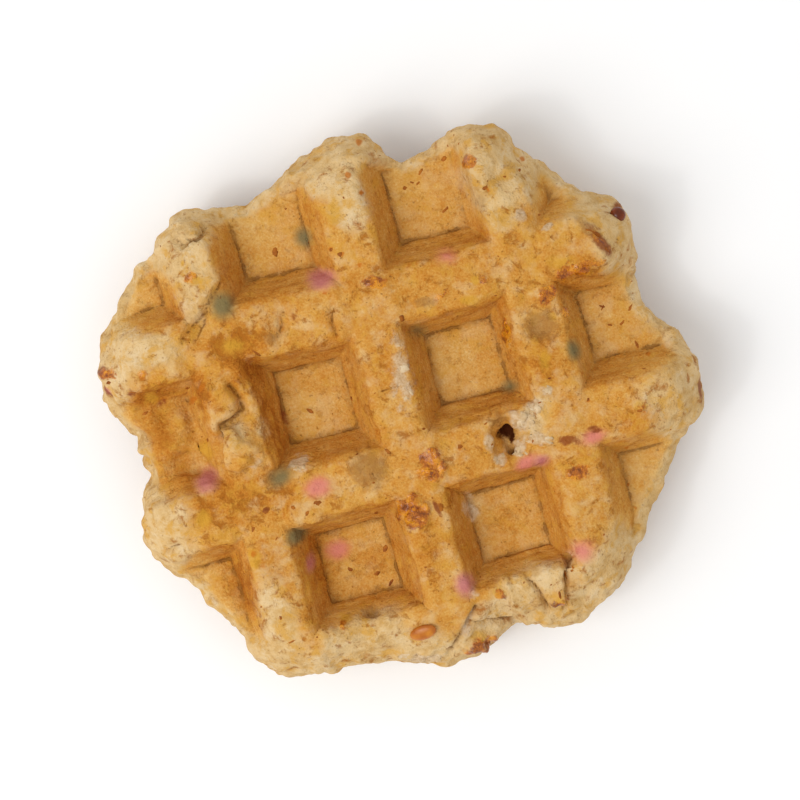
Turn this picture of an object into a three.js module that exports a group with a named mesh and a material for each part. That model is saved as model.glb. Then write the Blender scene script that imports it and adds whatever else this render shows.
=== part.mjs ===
// A liege waffle, lying flat: a thick uneven round of sweet yeast dough, baked between two gridded iron plates.
// Ridges cross it both ways, and square pockets with sloping walls are pressed into its top and its underside.
// Its free edge swelled out between the plates, furthest at the ends of the ridges.
//
// Millimetres, +Z up. The ridges run along X and along Y. The origin is under the middle of the waffle, on the
// plane Z = 0 that the flat ridges of the underside rest on.

import * as THREE from "three";

const THICKNESS = 24; // over the ridges of both faces
const POCKET_DEPTH = 8.5; // each face's pockets, so that 7 mm of dough is left between them
const PITCH = { x: 27.5, y: 29.2 }; // from ridge to ridge
const CROSSING = { x: -1.9, y: -10.5 }; // where two of the middle ridges cross
const RIDGE_HALF = { x: 4.2, y: 4.8 }; // half the flat width of a ridge, measured along X and along Y
const WALL_RUN = 3.1; // how far a pocket's wall slopes in
const RIDGE_ROUND = 1.1; // the rounding where a wall meets a ridge
const FLOOR_ROUND = 0.4; // the rounding where a wall meets a floor
const SWELL = 1.05; // how far the free edge's rounding reaches in, for each mm from its middle to the plate

const CRUST_ROUGH = 0.45; // the relief of dough that baked against a plate
const DOUGH_ROUGH = 1.7; // the relief of dough that baked free of the plates
const SETTLE = 0.25; // how much of the underside's relief is pressed flat where the waffle rests
const MIDDLE_WANDER = { rise: 2.4, width: 19 }; // how far the edge's widest line wanders up and down
const EDGE_RAGGED = 2; // how far the edge's face is knobbed in and out
const GRID_WANDER = { shift: 0.6, width: 13 }; // how far the ridges stray from straight lines

// The two sizes of crag in the crust. The shift keeps the small ones from lining up with the large.
const CRAGS = [
  { width: 6.5, share: 0.65, shift: 0 },
  { width: 3.2, share: 0.35, shift: 40 },
];

// Each use of the smooth bumps reads them on a level of its own, so that no two uses look alike.
const LEVELS = { face: 100, middle: 50, strayX: 20, strayY: 80 };

const RINGS = [1.5, 0.5]; // the edge's rings of points, as distances in from its widest line
const RING_STEP = 1.8; // sides of the first ring longer than this are halved
const SNAP = 0.3; // a grid point this share of a cell from the first ring is moved on to it

// The widest line of the edge, seen from above: the crest of each swelling and the dip after it, each as an angle
// in degrees from +X and a distance from the origin. A cosine ease joins each to the next.
const OUTLINE = [
  { at: 7, reach: 43.9 }, // dip at the right
  { at: 26, reach: 50.6 }, // right end of the upper ridge
  { at: 40, reach: 47.6 },
  { at: 50, reach: 48.3 },
  { at: 56, reach: 50.8 }, // top of the right ridge
  { at: 77, reach: 41.9 },
  { at: 86, reach: 47.2 }, // top of the middle ridge
  { at: 114, reach: 44.1 },
  { at: 128, reach: 52.4 }, // top of the left ridge
  { at: 161, reach: 54.6 }, // left end of the upper ridge
  { at: 181, reach: 46.8 },
  { at: 190, reach: 52.2 }, // left end of the lower ridge
  { at: 202, reach: 52.1 },
  { at: 208, reach: 49.3 },
  { at: 231, reach: 54.2 }, // bottom of the left ridge
  { at: 249, reach: 47.2 },
  { at: 269, reach: 47.5 }, // bottom of the middle ridge
  { at: 280, reach: 44.5 }, // torn notch
  { at: 288, reach: 49.9 },
  { at: 300, reach: 50.7 }, // bottom of the right ridge
  { at: 316, reach: 47.1 },
  { at: 327, reach: 47 },
  { at: 350, reach: 52.6 }, // right end of the lower ridge
];

// What stands up from the top face, or lies sunk in it, wider than the grid of points: the place of its middle,
// its radius, and its rise.
const TOP_LUMPS = [
  { x: 26, y: 7.4, radius: 5, rise: -2.6 }, // dough that never filled the right ridge
  { x: 15.6, y: -10.6, radius: 2.8, rise: -4.8 }, // torn hole in the lower ridge
  { x: -30.4, y: 9.4, radius: 3.8, rise: 1.6 }, // two lumps in the left ridge, with a cleft between them
  { x: -28.2, y: 4.6, radius: 1.9, rise: -2.4 },
  { x: -29, y: -0.6, radius: 3.8, rise: 1.4 },
  { x: -42.4, y: 4.6, radius: 8, rise: 4 }, // the left pocket, half filled with rough dough
  { x: -40.4, y: 20, radius: 4.4, rise: 1.4 }, // lumpy left end of the upper ridge
  { x: -48, y: 18.6, radius: 3.4, rise: 1.6 },
  { x: -46, y: -9.6, radius: 5, rise: 1.7 }, // swollen left end of the lower ridge
  { x: 23.6, y: 38.6, radius: 4.8, rise: 2.4 }, // broad lumpy top of the right ridge
  { x: 28, y: 31, radius: 3.8, rise: 1.3 },
  { x: -0.4, y: 41.6, radius: 4.5, rise: 1.5 }, // top of the middle ridge
  { x: -28.6, y: 37, radius: 5, rise: 1.4 }, // top of the left ridge
  { x: 46, y: -9.8, radius: 5, rise: 1.7 }, // right end of the lower ridge
  { x: 41.4, y: 19, radius: 4.6, rise: 1.7 }, // right end of the upper ridge
  { x: 24.6, y: -34.4, radius: 4.6, rise: 1.2 }, // folds at the bottom of the right ridge
  { x: 20.4, y: -37.6, radius: 1.8, rise: -2 },
  { x: 16.8, y: -38.4, radius: 3, rise: 1.6 },
  { x: 13.8, y: -37.2, radius: 1.5, rise: -1.8 },
  { x: 10.6, y: -38.6, radius: 2.6, rise: 1.4 },
  { x: 6.4, y: -40.6, radius: 1.6, rise: -2.4 }, // the tear that cuts off a thin flap of the edge
  { x: 3.4, y: -41.8, radius: 1.6, rise: -2 },
  { x: 0.4, y: -42.8, radius: 1.5, rise: -1.6 },
  { x: -29.6, y: -33.4, radius: 4.6, rise: 1.2 }, // bottom of the left ridge
  { x: -15, y: -34.2, radius: 1.7, rise: -1.8 }, // a burst bubble
  { x: 1.8, y: -10.9, radius: 3, rise: 1 }, // pearl sugar, burst and set on the crossing
  { x: -3, y: -18.2, radius: 3.2, rise: 1.1 },
  { x: -7.9, y: -39.7, radius: 2.4, rise: 1.2 }, // a nib of burnt sugar
  { x: 0.4, y: 22, radius: 2.4, rise: 0.9 }, // a blister of caramel
  { x: -16.4, y: 19, radius: 1.6, rise: -1.6 }, // a pit in the upper ridge
];

const UNDER_LUMPS = [
  { x: -29.4, y: 24, radius: 5, rise: -1.8 }, // dough that never filled the lower plate's grooves
  { x: 12, y: 18.7, radius: 4.5, rise: -1.5 },
  { x: 25.6, y: -24, radius: 4, rise: -1.6 },
  { x: 39.3, y: 4.1, radius: 6.5, rise: 2.2 }, // pockets partly filled
  { x: -43.1, y: -25.1, radius: 7, rise: 2.6 },
];

// A repeatable number from 0 to 1 for each corner of a lattice.
function latticeValue(i, j, k) {
  let mixed = Math.imul(i, 374761393) ^ Math.imul(j, 668265263) ^ Math.imul(k, 1442695041);
  mixed = Math.imul(mixed ^ (mixed >>> 13), 1274126177);
  mixed = Math.imul(mixed ^ (mixed >>> 15), 2246822519);
  return ((mixed ^ (mixed >>> 16)) >>> 0) / 4294967295;
}

// Smooth bumps of the given width, from -1 to 1.
function bumps(x, y, z, width) {
  const place = [x / width, y / width, z / width];
  const corner = place.map(Math.floor);
  const ease = place.map((p, axis) => {
    const t = p - corner[axis];
    return t * t * (3 - 2 * t);
  });
  let sum = 0;
  for (let n = 0; n < 8; n += 1) {
    const side = [n & 1, (n >> 1) & 1, (n >> 2) & 1];
    const share = side.reduce((all, s, axis) => all * (s ? ease[axis] : 1 - ease[axis]), 1);
    sum += share * latticeValue(corner[0] + side[0], corner[1] + side[1], corner[2] + side[2]);
  }
  return 2 * sum - 1;
}

// The crust's crags, from about -1 to 1.
function crags(x, y, z) {
  return CRAGS.reduce((sum, { width, share, shift }) => sum + share * bumps(x + shift, y, z, width), 0);
}

// How far out the edge reaches at an angle in degrees.
function reachAt(degrees) {
  const turn = ((degrees % 360) + 360) % 360;
  const next = OUTLINE.findIndex((point) => point.at > turn);
  const b = OUTLINE[next === -1 ? 0 : next];
  const a = OUTLINE[(next === -1 ? OUTLINE.length : next || OUTLINE.length) - 1];
  const span = (b.at - a.at + 360) % 360;
  const along = ((turn - a.at + 360) % 360) / span;
  return a.reach + ((b.reach - a.reach) * (1 - Math.cos(Math.PI * along))) / 2;
}

// The point that lies a given distance in from the edge, at an angle in degrees.
function insetPoint(degrees, inset) {
  const slope = (reachAt(degrees + 1) - reachAt(degrees - 1)) / THREE.MathUtils.degToRad(2);
  const reach = reachAt(degrees);
  const lean = Math.min(Math.hypot(1, slope / reach), 1.5);
  const angle = THREE.MathUtils.degToRad(degrees);
  const radius = reach - inset * lean;
  return { x: radius * Math.cos(angle), y: radius * Math.sin(angle) };
}

// How far in from the edge a point lies.
function insetOf(x, y) {
  const degrees = THREE.MathUtils.radToDeg(Math.atan2(y, x));
  const unit = insetPoint(degrees, 1);
  const reach = reachAt(degrees);
  return (reach - Math.hypot(x, y)) / (reach - Math.hypot(unit.x, unit.y));
}

// Rises from 0 to 1 over a wall's run, rounded at both ends.
function roundedRamp(run) {
  if (run < -RIDGE_ROUND) return 0;
  if (run < RIDGE_ROUND) return (run + RIDGE_ROUND) ** 2 / (4 * RIDGE_ROUND * WALL_RUN);
  const toFloor = WALL_RUN - run;
  if (toFloor > FLOOR_ROUND) return run / WALL_RUN;
  if (toFloor > -FLOOR_ROUND) return 1 - (toFloor + FLOOR_ROUND) ** 2 / (4 * FLOOR_ROUND * WALL_RUN);
  return 1;
}

// How deep a plate's stud stands in the dough: 0 on a ridge, 1 over a pocket's floor.
function studDepth(x, y) {
  const place = { x, y };
  return Math.min(
    ...["x", "y"].map((axis) => {
      const steps = (place[axis] - CROSSING[axis]) / PITCH[axis];
      const fromRidge = Math.abs(steps - Math.round(steps)) * PITCH[axis];
      return roundedRamp(fromRidge - RIDGE_HALF[axis]);
    }),
  );
}

function lumpsAt(lumps, x, y) {
  return lumps.reduce((sum, lump) => {
    const share = ((x - lump.x) ** 2 + (y - lump.y) ** 2) / lump.radius ** 2;
    return sum + lump.rise * Math.exp(-share);
  }, 0);
}

// The height of the edge's widest line, under or over any point.
function middleHeight(x, y) {
  return THICKNESS / 2 + MIDDLE_WANDER.rise * bumps(x, y, LEVELS.middle, MIDDLE_WANDER.width);
}

// The height of one face of the dough: of the top where side is 1, of the underside where it is -1.
function faceHeight(x, y, inset, side) {
  const plate = THICKNESS / 2 - POCKET_DEPTH * studDepth(x, y);
  const middle = middleHeight(x, y);
  const half = side * (THICKNESS / 2 - middle) + plate;
  const open = Math.max(0, 1 - inset / (SWELL * half));
  const fill = Math.sqrt(1 - open ** 2);
  const rough = CRUST_ROUGH + (DOUGH_ROUGH - CRUST_ROUGH) * Math.min(1, 2 * open);
  const lumps = lumpsAt(side > 0 ? TOP_LUMPS : UNDER_LUMPS, x, y) * fill;
  const relief = rough * fill * crags(x, y, LEVELS.face * side);
  const height = middle + side * (half * fill + lumps + relief);
  return side > 0 ? height : Math.max(0, height - SETTLE);
}

// The places of the plates' grid lines along one axis: where ridges, walls and floors begin, and between them.
function gridLines(axis, limit) {
  const half = RIDGE_HALF[axis];
  const floor = half + WALL_RUN + FLOOR_ROUND;
  const steps = [half - RIDGE_ROUND, half, half + RIDGE_ROUND, floor - 2 * FLOOR_ROUND, floor];
  const offsets = [0, ...steps, (floor + PITCH[axis] / 2) / 2];
  const lines = [];
  const first = Math.floor((-limit - CROSSING[axis]) / PITCH[axis]);
  const last = Math.ceil((limit - CROSSING[axis]) / PITCH[axis]);
  for (let ridge = first; ridge <= last; ridge += 1) {
    const centre = CROSSING[axis] + ridge * PITCH[axis];
    lines.push(centre + PITCH[axis] / 2);
    offsets.forEach((offset) => lines.push(centre + offset));
    offsets.slice(1).forEach((offset) => lines.push(centre - offset));
  }
  return lines.filter((line) => Math.abs(line) <= limit).sort((a, b) => a - b);
}

// The plates' grid as points and triangles, cut off at the first ring of the edge.
function clippedGrid() {
  const limit = Math.max(...OUTLINE.map((point) => point.reach));
  const xs = gridLines("x", limit);
  const ys = gridLines("y", limit);
  const points = [];
  ys.forEach((y, row) => {
    xs.forEach((x, column) => {
      const cell = Math.min(
        (xs[column + 1] ?? x + 2) - x,
        x - (xs[column - 1] ?? x - 2),
        (ys[row + 1] ?? y + 2) - y,
        y - (ys[row - 1] ?? y - 2),
      );
      const beyond = insetOf(x, y) - RINGS[0];
      if (Math.abs(beyond) > SNAP * cell) {
        points.push({ x, y, beyond });
        return;
      }
      const degrees = THREE.MathUtils.radToDeg(Math.atan2(y, x));
      points.push({ ...insetPoint(degrees, RINGS[0]), beyond: 0 });
    });
  });

  const crossings = new Map();
  const crossing = (a, b) => {
    const key = a < b ? `${a},${b}` : `${b},${a}`;
    if (!crossings.has(key)) {
      const share = points[a].beyond / (points[a].beyond - points[b].beyond);
      const x = THREE.MathUtils.lerp(points[a].x, points[b].x, share);
      const y = THREE.MathUtils.lerp(points[a].y, points[b].y, share);
      const degrees = THREE.MathUtils.radToDeg(Math.atan2(y, x));
      crossings.set(key, points.push({ ...insetPoint(degrees, RINGS[0]), beyond: 0 }) - 1);
    }
    return crossings.get(key);
  };

  const triangles = [];
  const keepInside = (corners) => {
    const kept = [];
    corners.forEach((a, n) => {
      const b = corners[(n + 1) % 3];
      if (points[a].beyond >= 0) kept.push(a);
      if (points[a].beyond * points[b].beyond < 0) kept.push(crossing(a, b));
    });
    if (!corners.some((corner) => points[corner].beyond > 0)) return;
    for (let n = 2; n < kept.length; n += 1) triangles.push([kept[0], kept[n - 1], kept[n]]);
  };
  for (let row = 0; row + 1 < ys.length; row += 1) {
    for (let column = 0; column + 1 < xs.length; column += 1) {
      const a = row * xs.length + column;
      const [b, c, d] = [a + 1, a + xs.length + 1, a + xs.length];
      // The diagonals fan out from each pocket's middle, so that its corners are mitred.
      const turnX = (Math.PI * (xs[column] + xs[column + 1] - 2 * CROSSING.x)) / PITCH.x;
      const turnY = (Math.PI * (ys[row] + ys[row + 1] - 2 * CROSSING.y)) / PITCH.y;
      const rising = Math.sin(turnX) * Math.sin(turnY) > 0;
      const halves = rising ? [[a, b, c], [a, c, d]] : [[a, b, d], [b, c, d]];
      halves.forEach(keepInside);
    }
  }
  return { points, triangles };
}

// Halves the long sides of the sheet's border, so that the edge's rings are finer than the grid.
function refineBorder({ points, triangles }) {
  const border = borderOf(triangles);
  const middles = new Map();
  border.forEach((a, n) => {
    const b = border[(n + 1) % border.length];
    if (Math.hypot(points[a].x - points[b].x, points[a].y - points[b].y) < RING_STEP) return;
    const degrees = THREE.MathUtils.radToDeg(Math.atan2(points[a].y + points[b].y, points[a].x + points[b].x));
    middles.set(`${a},${b}`, points.push(insetPoint(degrees, RINGS[0])) - 1);
  });
  const refined = triangles.flatMap((corners) => {
    const side = corners.findIndex((a, n) => middles.has(`${a},${corners[(n + 1) % 3]}`));
    if (side === -1) return [corners];
    const [a, b, c] = [0, 1, 2].map((n) => corners[(side + n) % 3]);
    const middle = middles.get(`${a},${b}`);
    return [[a, middle, c], [middle, b, c]];
  });
  return { points, triangles: refined };
}

// The corners of the sheet's border, in order round it.
function borderOf(triangles) {
  const edges = new Map();
  triangles.forEach((corners) => {
    corners.forEach((a, n) => edges.set(`${a},${corners[(n + 1) % 3]}`, [a, corners[(n + 1) % 3]]));
  });
  const onward = new Map();
  edges.forEach(([a, b]) => {
    if (!edges.has(`${b},${a}`)) onward.set(a, b);
  });
  const border = [onward.keys().next().value];
  while (onward.get(border.at(-1)) !== border[0]) border.push(onward.get(border.at(-1)));
  if (border.length !== onward.size) throw new Error("the sheet has more than one border");
  return border;
}

// The whole waffle as one closed surface: a top sheet, an under sheet and the rings of the edge between them.
function waffleGeometry() {
  const { points, triangles } = refineBorder(clippedGrid());
  const border = borderOf(triangles);
  const positions = [];
  const index = [];
  const used = [...new Set(triangles.flat())];

  const addSheet = (side) => {
    const made = new Map();
    used.forEach((n) => {
      const { x, y } = points[n];
      made.set(n, positions.push([x, y, faceHeight(x, y, insetOf(x, y), side)]) - 1);
    });
    triangles.forEach((corners) => {
      const [a, b, c] = corners.map((n) => made.get(n));
      index.push(...(side > 0 ? [a, b, c] : [c, b, a]));
    });
    return border.map((n) => made.get(n));
  };

  const addRing = (inset, side) =>
    border.map((n) => {
      const degrees = THREE.MathUtils.radToDeg(Math.atan2(points[n].y, points[n].x));
      const { x, y } = insetPoint(degrees, inset);
      const z = side === 0 ? middleHeight(x, y) : faceHeight(x, y, inset, side);
      const out = 1 + (EDGE_RAGGED * crags(x, y, z)) / Math.hypot(x, y);
      return positions.push([x * out, y * out, z]) - 1;
    });

  const rings = [
    addSheet(1),
    ...RINGS.slice(1).map((inset) => addRing(inset, 1)),
    addRing(0, 0),
    ...RINGS.slice(1).reverse().map((inset) => addRing(inset, -1)),
    addSheet(-1),
  ];
  rings.slice(1).forEach((below, n) => {
    const above = rings[n];
    above.forEach((a, here) => {
      const next = (here + 1) % above.length;
      index.push(a, below[here], below[next], a, below[next], above[next]);
    });
  });

  const stray = (x, y, level) => GRID_WANDER.shift * bumps(x, y, level, GRID_WANDER.width);
  const strayed = positions.flatMap(([x, y, z]) => [
    x + stray(x, y, LEVELS.strayX),
    y + stray(x, y, LEVELS.strayY),
    z,
  ]);
  const geometry = new THREE.BufferGeometry();
  geometry.setAttribute("position", new THREE.Float32BufferAttribute(strayed, 3));
  geometry.setIndex(index);
  geometry.computeBoundingBox();
  const middle = geometry.boundingBox.getCenter(new THREE.Vector3());
  geometry.translate(-middle.x, -middle.y, -geometry.boundingBox.min.z);
  geometry.computeVertexNormals();
  return geometry;
}

// Golden crust, paler where the dough baked free of the plates.
const crust = new THREE.MeshStandardMaterial({ color: 0xd9a04e, roughness: 0.75, metalness: 0 });

const waffle = new THREE.Mesh(waffleGeometry(), crust);
waffle.name = "waffle";

const group = new THREE.Group();
group.add(waffle);

export default group;
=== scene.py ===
import math

import bmesh
import bpy
import numpy as np
from mathutils import Matrix, Vector, noise
from mathutils.bvhtree import BVHTree
from mathutils.kdtree import KDTree


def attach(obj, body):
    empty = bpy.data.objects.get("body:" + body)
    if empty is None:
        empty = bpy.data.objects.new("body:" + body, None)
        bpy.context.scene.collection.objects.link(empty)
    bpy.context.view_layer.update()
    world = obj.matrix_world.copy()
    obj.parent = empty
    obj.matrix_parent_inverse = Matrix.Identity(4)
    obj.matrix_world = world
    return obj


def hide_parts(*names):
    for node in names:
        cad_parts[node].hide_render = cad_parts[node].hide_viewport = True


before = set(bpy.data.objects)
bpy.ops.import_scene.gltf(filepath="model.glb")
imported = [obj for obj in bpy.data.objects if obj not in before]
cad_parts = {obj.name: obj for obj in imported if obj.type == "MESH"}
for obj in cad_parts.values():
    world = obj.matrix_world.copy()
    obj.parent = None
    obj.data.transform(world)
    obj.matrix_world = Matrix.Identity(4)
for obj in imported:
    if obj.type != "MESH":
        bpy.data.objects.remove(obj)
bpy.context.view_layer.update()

# The dough
# The baked body: sweet yeast dough that an iron pressed into ridges and pockets on both faces. Its edge
# rose free of the plates into a craggy rim. Places and sizes are in millimetres, seen from above, with +X
# to the right.

METRES = 0.001
MIDDLE = 9  # the level between the marks of the two faces
OVERLAP = 2  # how far each face's marks reach past it

waffle = bpy.data.objects.new("waffle_crust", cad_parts["waffle"].data.copy())
bpy.context.collection.objects.link(waffle)
bpy.ops.object.select_all(action="DESELECT")
waffle.select_set(True)
bpy.context.view_layer.objects.active = waffle
waffle.data.materials.clear()
bpy.ops.object.mode_set(mode="EDIT")
bpy.ops.mesh.select_all(action="SELECT")
bpy.ops.mesh.remove_doubles(threshold=0.01 * METRES)
bpy.ops.mesh.tris_convert_to_quads(face_threshold=math.radians(40), shape_threshold=math.radians(40))
bpy.ops.mesh.select_all(action="DESELECT")
bpy.ops.object.mode_set(mode="OBJECT")

# The foot of every wall stays sharp, and the ridges' edges nearly so. Points along the foot are kept.
FOOT_BEND = math.radians(-22)
EDGE_BEND = math.radians(24)
FOOT_STEP = 0.25 * METRES
FLOOR_LEVELS = (15.5 * METRES, 8.5 * METRES)  # of the pockets in the top and in the underside
FLOOR_ROUGH = 2.2 * METRES  # how far off its level a floor may lie
STEEPEST_FOOT = 0.4  # rise for each length along it
EDGE_CREASE = 0.3
FOOT_CREASE = 0.6
shape = bmesh.new()
shape.from_mesh(waffle.data)
crease = shape.edges.layers.float.new("crease_edge")
foot_points = []
for edge in shape.edges:
    bend = edge.calc_face_angle_signed(0)
    if bend > EDGE_BEND:
        edge[crease] = EDGE_CREASE
    if bend > FOOT_BEND:
        continue
    edge[crease] = FOOT_CREASE
    start, end = [corner.co for corner in edge.verts]
    off_floor = min(abs((start.z + end.z) / 2 - level) for level in FLOOR_LEVELS)
    if off_floor > FLOOR_ROUGH or abs(end.z - start.z) > STEEPEST_FOOT * edge.calc_length():
        continue
    steps = math.ceil(edge.calc_length() / FOOT_STEP)
    foot_points += [start.lerp(end, n / steps) for n in range(steps + 1)]
shape.to_mesh(waffle.data)
shape.free()

rounding = waffle.modifiers.new("rounding", "SUBSURF")
rounding.levels = 2
rounding.render_levels = 2
bpy.ops.object.modifier_apply(modifier="rounding")

# Finer points where the top is torn, folded or crusted with sugar: x, y and reach.
FINE_PLACES = (
    (16.5, -9.0, 7.5),
    (-28.8, 4.0, 8.5),
    (15.5, -37.5, 8.0),
    (1.5, -42.0, 5.0),
    (-0.8, -14.6, 6.5),
)


def in_fine_place(point):
    """Whether a point, in metres, lies in the upper half of the dough and in one of the fine places."""
    if point.z <= MIDDLE * METRES:
        return False
    return any(math.hypot(point.x / METRES - x, point.y / METRES - y) < far for x, y, far in FINE_PLACES)


shape = bmesh.new()
shape.from_mesh(waffle.data)
fine = [edge for edge in shape.edges if all(in_fine_place(end.co) for end in edge.verts)]
bmesh.ops.subdivide_edges(shape, edges=fine, cuts=1, use_grid_fill=True)
shape.to_mesh(waffle.data)
shape.free()
bpy.ops.object.shade_smooth()


def read_mesh(name):
    """The places (co) or normals of every point of the dough."""
    values = np.empty(len(waffle.data.vertices) * 3)
    waffle.data.vertices.foreach_get(name, values)
    return values.reshape(-1, 3)


place = read_mesh("co") / METRES
facing = read_mesh("normal")
ends = np.empty(len(waffle.data.edges) * 2, dtype=int)
waffle.data.edges.foreach_get("vertices", ends)
ends = ends.reshape(-1, 2)
neighbours = np.bincount(ends.ravel(), minlength=len(place))


def even_out(values, rounds):
    """Values softened by taking the mean with their neighbours' values."""
    for _ in range(rounds):
        total = np.zeros(len(values))
        np.add.at(total, ends[:, 0], values[ends[:, 1]])
        np.add.at(total, ends[:, 1], values[ends[:, 0]])
        values = (values + total) / (1 + neighbours)
    return values


def bumps(size, seed, along=(1, 1, 1)):
    """Soft bumps about size across, from -1 to 1, drawn out where along is less than 1."""
    points = place * np.array(along) / size + seed
    return np.array([noise.noise(point) for point in points.tolist()]) * 1.6


def knobs(size, seed):
    """Rounded knobs with sharp valleys between them, from about -0.5 to 0.5."""
    points = place / size + seed
    return 0.5 - np.array([noise.voronoi(point)[0][0] for point in points.tolist()])


def mark(x, y, length, width, turn=0.0, strength=1.0, side=1):
    """How deep each point of one face lies in an oval: strength at its middle, 0 at its rim, less beyond."""
    c, s = math.cos(math.radians(turn)), math.sin(math.radians(turn))
    dx, dy = place[:, 0] - x, place[:, 1] - y
    share = 1 - np.hypot((dx * c + dy * s) * 2 / length, (dy * c - dx * s) * 2 / width)
    same_side = side * (place[:, 2] - MIDDLE) > -OVERLAP
    return np.where(same_side, np.maximum(share * strength, -1), -1)


def marks(ovals, side=1):
    """The deepest of many marks, point by point."""
    return np.max([mark(*oval, side=side) for oval in ovals], axis=0)


CRACKED_ABOVE = 8


def score(points, width):
    """How deep each point of the top lies in a crack: 1 on its line, 0 at its sides, less beyond."""
    nearest = np.full(len(place), np.inf)
    for (ax, ay), (bx, by) in zip(points, points[1:]):
        run = np.array([bx - ax, by - ay])
        offset = place[:, :2] - (ax, ay)
        share = np.clip(offset @ run / (run @ run), 0, 1)
        nearest = np.minimum(nearest, np.linalg.norm(offset - share[:, None] * run, axis=1))
    return np.where(place[:, 2] > CRACKED_ABOVE, np.maximum(1 - nearest * 2 / width, -1), -1)


# How far each point lies in from the outline, from the outline's reach in each direction.
ANGLES = 360
angle = np.degrees(np.arctan2(place[:, 1], place[:, 0])) % 360
radius = np.hypot(place[:, 0], place[:, 1])
reach = np.zeros(ANGLES)
np.maximum.at(reach, angle.astype(int) % ANGLES, radius)
inset = np.interp(angle, np.arange(ANGLES) + 0.5, reach, period=360) - radius

# The plates' grid: the pitch of its ridges, one crossing and half the width of a ridge, along x and y. The
# rim that rose free is wide on a ridge and narrow in a pocket.
PITCH = np.array((27.5, 29.2))
CROSSING = np.array((-1.9, -10.5))
RIDGE_HALF = np.array((4.2, 4.8))
WALL_RUN = 3.1
RIM_ON_RIDGE = 12.6
RIM_IN_POCKET = 3.675
off_line = np.abs((place[:, :2] - CROSSING + PITCH / 2) % PITCH - PITCH / 2)
in_pocket = np.clip((off_line - RIDGE_HALF).min(axis=1) / WALL_RUN, 0, 1)
opening = 1 - inset / (RIM_ON_RIDGE - (RIM_ON_RIDGE - RIM_IN_POCKET) * in_pocket)

# Dough that rose free of the plates: the rim, and places where the plates' grooves weren't filled. The
# rows of this table and the next ones are x, y, length, width, turn and, where it isn't 1, strength.
PALE_PATCHES = (
    (-30.0, 32.0, 9, 20, 0, 1.0),
    (-40.5, 20.4, 15, 8, 0, 1.0),
    (-46.0, -9.2, 14, 11, 0, 1.0),
    (-31.0, -31.0, 9, 20, 0, 1.0),
    (24.6, 33.7, 14, 19, 0, 1.0),
    (23.6, 27.5, 7, 8, 0, 0.8),
    (-0.5, 37.0, 9, 14, 0, 0.9),
    (43.0, -9.6, 10, 9, 0, 0.8),
    (41.6, 17.0, 8, 13, 0, 0.8),
    (12.0, -36.0, 20, 8, 10, 1.0),
    (-17.0, -36.5, 22, 9, 0, 1.0),
    (23.5, -35.0, 10, 9, 0, 0.9),
    (21.0, -7.0, 12, 6, 45, 0.8),
    (-29.6, 3.5, 8, 14, 0, 0.45),
    (-25.0, 3.0, 4, 6, 0, 0.5),
)


def smooth(values, low, high):
    """0 at low, 1 at high, with a smooth ease between them."""
    share = np.clip((values - low) / (high - low), 0, 1)
    return share * share * (3 - 2 * share)


rim = smooth(opening + 0.10 * bumps(5, 3.7), 0.15, 0.65)
patches = smooth(marks(PALE_PATCHES) + 0.15 * bumps(4, 9.1), -0.15, 0.55)
free = even_out(np.maximum(rim, patches), 2)
wall = smooth(1 - np.abs(facing[:, 2]), 0.12, 0.5) * (1 - free)


def keep_field(name, values):
    """Keeps a value for every point of the dough, for its finish to read."""
    field = waffle.data.attributes.new(name, "FLOAT", "POINT")
    field.data.foreach_set("value", values.astype(np.float32))


keep_field("free", free)
keep_field("wall", wall)
keep_field("in_pocket", in_pocket)

# How far each point lies from the foot of a wall. Free dough and the rough floor at the left have none.
FAR_FROM_FOOT = 6
FOOT_LOST = 4
foot_line = KDTree(len(foot_points))
for n, point in enumerate(foot_points):
    foot_line.insert(point, n)
foot_line.balance()
from_foot = np.array([foot_line.find(point)[2] for point in (place * METRES).tolist()]) / METRES
rough_floor = smooth(mark(-42.0, 2.5, 16, 21), 0.0, 0.4)
from_foot = from_foot + FOOT_LOST * (free + rough_floor)
keep_field("from_foot", np.minimum(from_foot, FAR_FROM_FOOT))

# Where the crust browned more than elsewhere.
BROWNED = (
    (-25.6, 17.9, 15, 9, 0, 1.3),
    (-24.9, 12.5, 7, 8, 0, 1.2),
    (-23.4, 4.0, 5, 18, 0, 0.9),
    (-42.5, 5.0, 14, 20, 0, 1.0),
    (-43.0, 13.6, 14, 7, 0, 0.8),
    (-31.0, -8.8, 20, 12, 0, 0.8),
    (-36.0, -24.0, 8, 20, 15, 1.1),
    (-30.5, -20.0, 6, 14, 5, 0.4),
    (-21.5, -24.0, 6, 18, 0, 0.7),
    (-14.5, -25.5, 14, 14, 0, 0.45),
    (11.9, -24.6, 12, 12, 0, 0.4),
    (-3.0, -24.0, 6, 16, 0, 0.5),
    (34.0, 15.0, 14, 7, 0, 0.5),
    (38.0, -12.5, 16, 6, 0, 0.5),
    (-33.0, 11.5, 6, 9, 0, 1.0),
    (-2.5, -26.0, 7, 14, 0, 0.25),
    (-2.0, 9.0, 6, 14, 0, 0.4),
    (25.0, 2.0, 6, 12, 0, 0.5),
    (-38.0, -9.0, 5, 6, 0, 0.9),
)
browned = sum(np.clip(mark(*zone), 0, 1) for zone in BROWNED)
keep_field("browned", even_out(browned, 2))

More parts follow.
